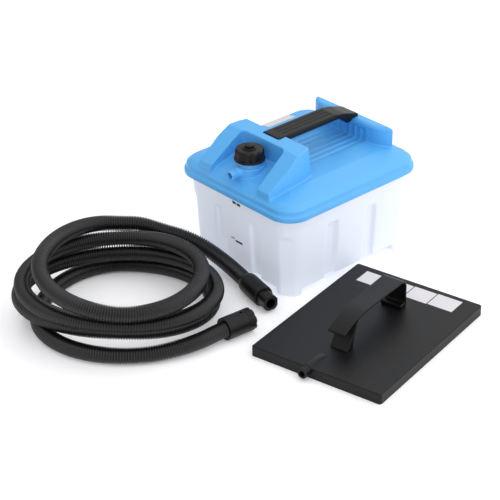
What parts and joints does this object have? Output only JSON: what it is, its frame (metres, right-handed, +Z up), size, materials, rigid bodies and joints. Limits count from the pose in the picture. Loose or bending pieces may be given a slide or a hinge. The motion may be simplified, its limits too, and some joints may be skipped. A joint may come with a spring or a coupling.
{
  "type": "wallpaper steamer",
  "caption": "Wallpaper steamer with a translucent water tank, blue moulded lid, black carry handle, coiled ribbed steam hose and black steam plate",
  "frame": {"origin": "on the floor under the middle of the tank", "axes": "+X to the right side of the tank, where the steam plate lies; -Y to the front of the tank, where the filler cap and the steam outlet are; +Z up"},
  "size_m": [0.5625, 0.6149, 0.2127],
  "materials": {
    "tank_shell": "translucent moulded polypropylene",
    "lid_shell": "satin moulded polypropylene",
    "black_trim": "moulded nylon",
    "hose_skin": "ribbed flexible hose",
    "cuff_skin": "moulded nylon",
    "plate_shell": "satin moulded polypropylene",
    "plate_trim": "moulded nylon",
    "seal_rubber": "moulded silicone",
    "screw_steel": "zinc plated",
    "inner_plastic": "moulded",
    "terminal_plastic": "moulded",
    "element_sheath": "drawn tube",
    "element_brass": "pressed plate"
  },
  "bodies": {
    "tank_unit": {"tank": "tank_shell", "lid": "lid_shell", "lid_gasket": "seal_rubber", "carry_handle": "black_trim", "handle_screws": "screw_steel", "housing_cover": "inner_plastic", "element_gasket": "seal_rubber", "element_flange": "element_brass", "heating_element": "element_sheath", "element_nuts": "element_brass", "thermal_cutout": "inner_plastic", "terminal_block": "terminal_plastic", "cord_gland": "black_trim"},
    "cap_carrier": {"cap_seal": "seal_rubber"},
    "cap_body": {"filler_cap": "black_trim", "relief_spring": "screw_steel"},
    "relief_plunger": {"relief_valve": "black_trim", "relief_retainer": "screw_steel"},
    "hose_set": {"hose_coil": "hose_skin", "hose_tail_tank": "hose_skin", "hose_tail_plate": "hose_skin", "tank_cuff": "cuff_skin", "tank_nozzle": "cuff_skin", "nozzle_seal": "seal_rubber", "plate_cuff": "cuff_skin", "plate_cuff_seal": "seal_rubber"},
    "lock_ring": {"plate_lock_ring": "cuff_skin"},
    "plate_set": {"steam_plate": "plate_shell", "plate_handle": "plate_trim", "plate_handle_screws": "screw_steel"}
  },
  "joints": [
    {"name": "cap_lift", "type": "slide", "parent": "tank_unit", "child": "cap_carrier", "axis": [0, 0, 1], "range_m": [0, 0.006]},
    {"name": "cap_turn", "type": "hinge", "parent": "cap_carrier", "child": "cap_body", "pos_m": [0, -0.101, 0.188], "axis": [0, 0, 1], "range_deg": [0, 540]},
    {"name": "relief_lift", "type": "slide", "parent": "cap_body", "child": "relief_plunger", "axis": [0, 0, 1], "range_m": [0, 0.003], "stiffness_N_per_m": 400, "deforming": ["relief_spring"]},
    {"name": "hose_lift", "type": "slide", "parent": "tank_unit", "child": "hose_set", "axis": [0, -0.5, 0.866], "range_m": [0, 0.3]},
    {"name": "lock_turn", "type": "hinge", "parent": "hose_set", "child": "lock_ring", "pos_m": [0.12579, -0.22116, 0.0173], "axis": [0.0827, 0.9966, 0], "range_deg": [0, 40]},
    {"name": "plate_lift", "type": "slide", "parent": "tank_unit", "child": "plate_set", "axis": [0.5, 0, 0.866], "range_m": [0, 0.3]}
  ],
  "couplings": [
    {"joint": "cap_lift", "follows": "cap_turn", "m_per_rad": 0.00063662}
  ]
}
